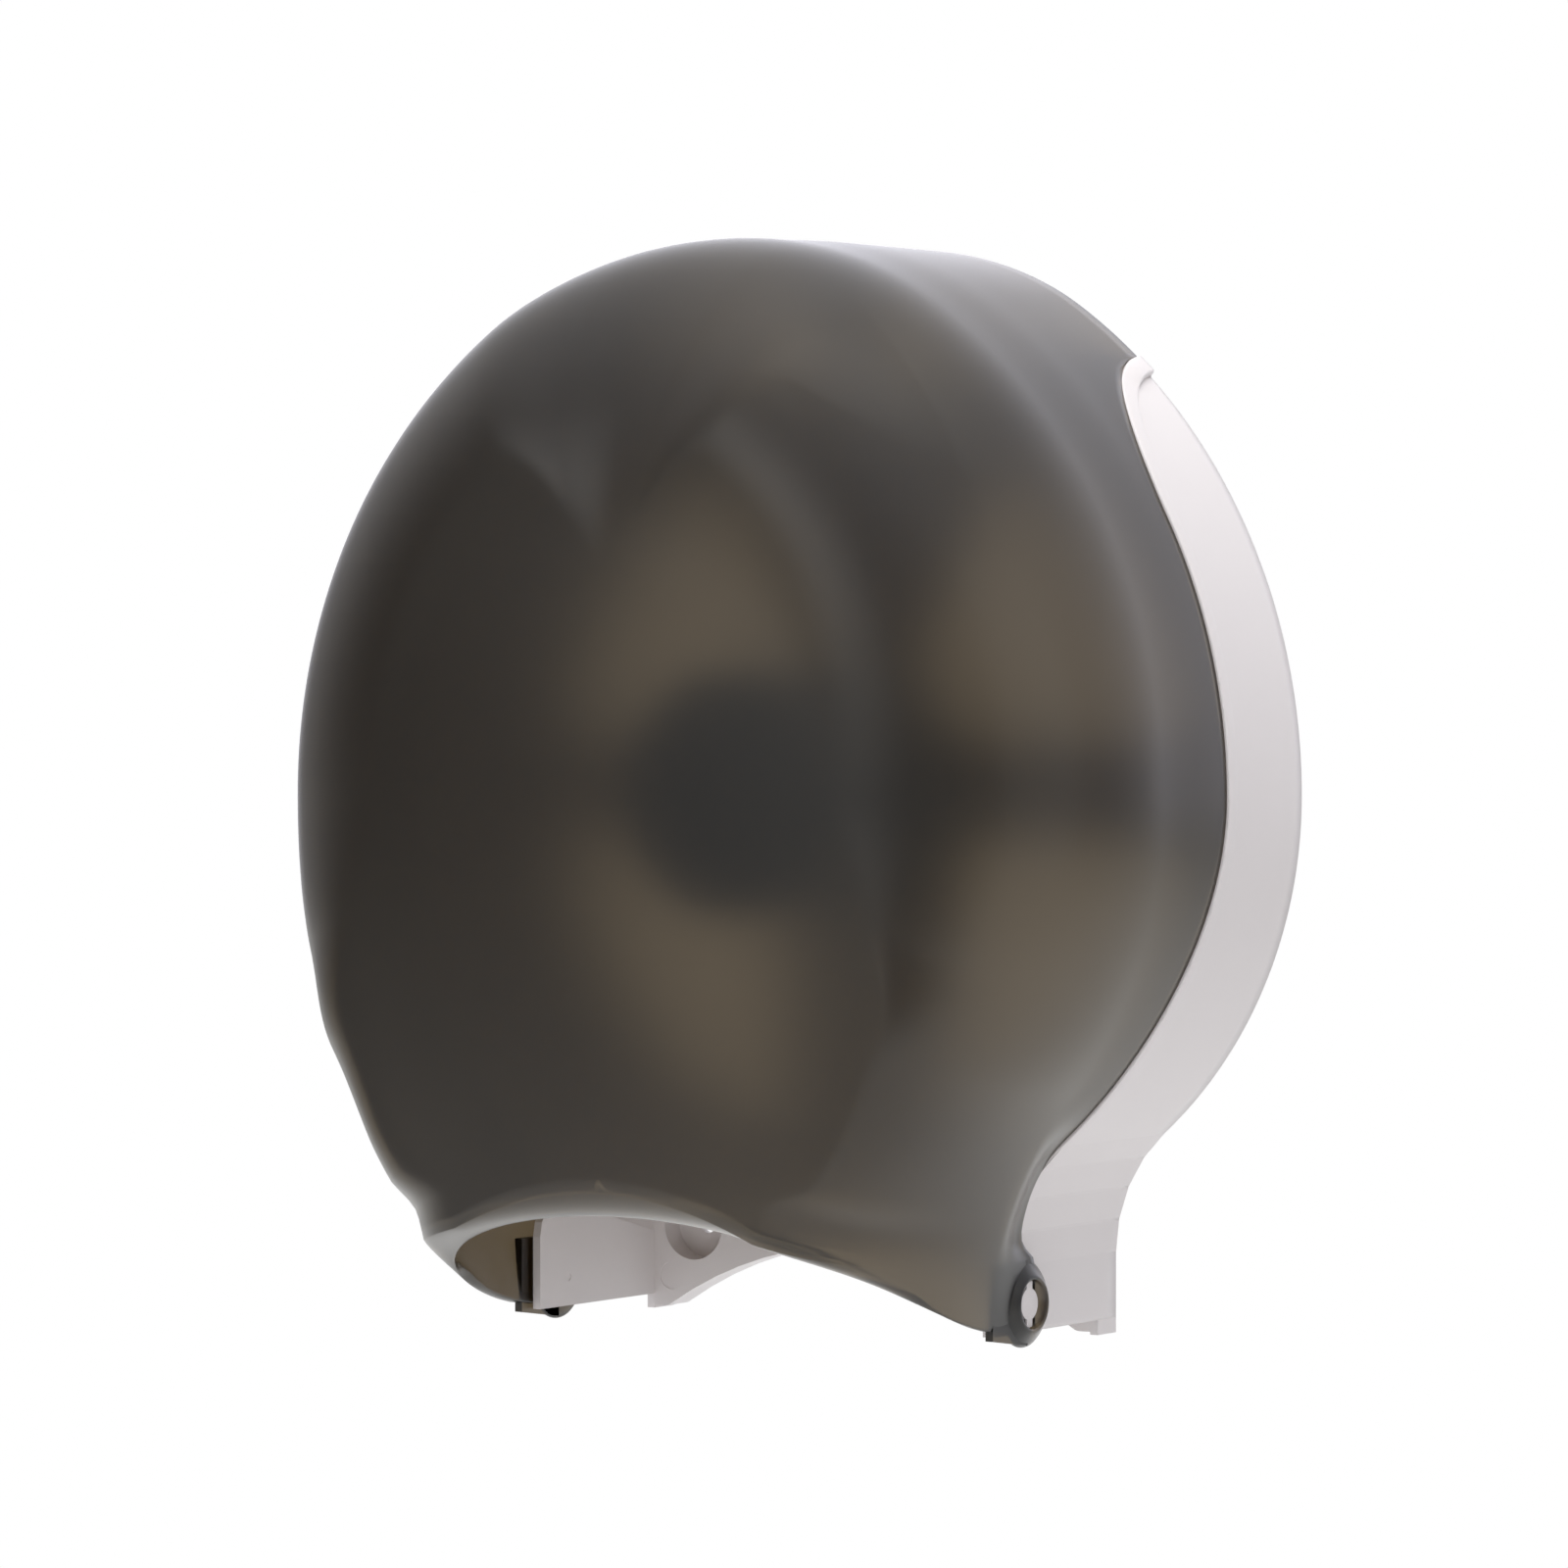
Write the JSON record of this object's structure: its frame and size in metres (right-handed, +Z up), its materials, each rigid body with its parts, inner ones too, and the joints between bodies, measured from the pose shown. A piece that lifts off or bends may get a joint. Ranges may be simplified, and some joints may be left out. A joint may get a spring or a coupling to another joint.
{
  "type": "jumbo toilet roll dispenser",
  "caption": "Wall dispenser for one jumbo toilet roll: white back plate with legs, smoke cover that swings down, turning hub and a keyed lock on top.",
  "frame": {"origin": "on the wall, level with the roll's axis and on the part's middle plane", "axes": "+X to the right seen from the front, -Y out of the wall towards the front, +Z up; the wall is the plane y = 0"},
  "size_m": [0.2716, 0.1468, 0.3053],
  "materials": {
    "white_abs": "white moulded plastic, fine satin",
    "smoke_plastic": "smoke tinted translucent plastic, finely frosted",
    "dark_plastic": "dark grey moulded plastic, satin",
    "acetal": "natural acetal",
    "zinc": "zinc plated steel",
    "zinc_sheet": "zinc plated sheet steel",
    "chrome": "polished chrome"
  },
  "bodies": {
    "base": {"back_plate": "white_abs", "spindle_post": "white_abs", "post_screws": "zinc", "thrust_washer": "zinc", "retaining_washer": "zinc", "retaining_screw": "zinc", "strike": "zinc_sheet", "strike_screws": "zinc"},
    "hub": {"hub_drum": "dark_plastic", "hub_bush_rear": "acetal", "hub_bush_front": "acetal", "hub_cap": "dark_plastic"},
    "cover": {"cover": "smoke_plastic", "lock_housing": "chrome", "lock_washer": "zinc", "lock_nut": "zinc"},
    "lock": {"lock_plug": "chrome", "lock_cam": "zinc_sheet", "cam_washer": "zinc", "cam_screw": "zinc"}
  },
  "joints": [
    {"name": "cover_swing", "type": "hinge", "parent": "base", "child": "cover", "pos_m": [0, -0.0535, -0.1384], "axis": [1, 0, 0], "range_deg": [0, 110]},
    {"name": "hub_spin", "type": "hinge", "parent": "base", "child": "hub", "pos_m": [0, -0.045, 0], "axis": [0, -1, 0], "continuous": true},
    {"name": "lock_turn", "type": "hinge", "parent": "cover", "child": "lock", "pos_m": [0, -0.022, 0.14], "axis": [0, 0, -1], "range_deg": [0, 90]}
  ]
}
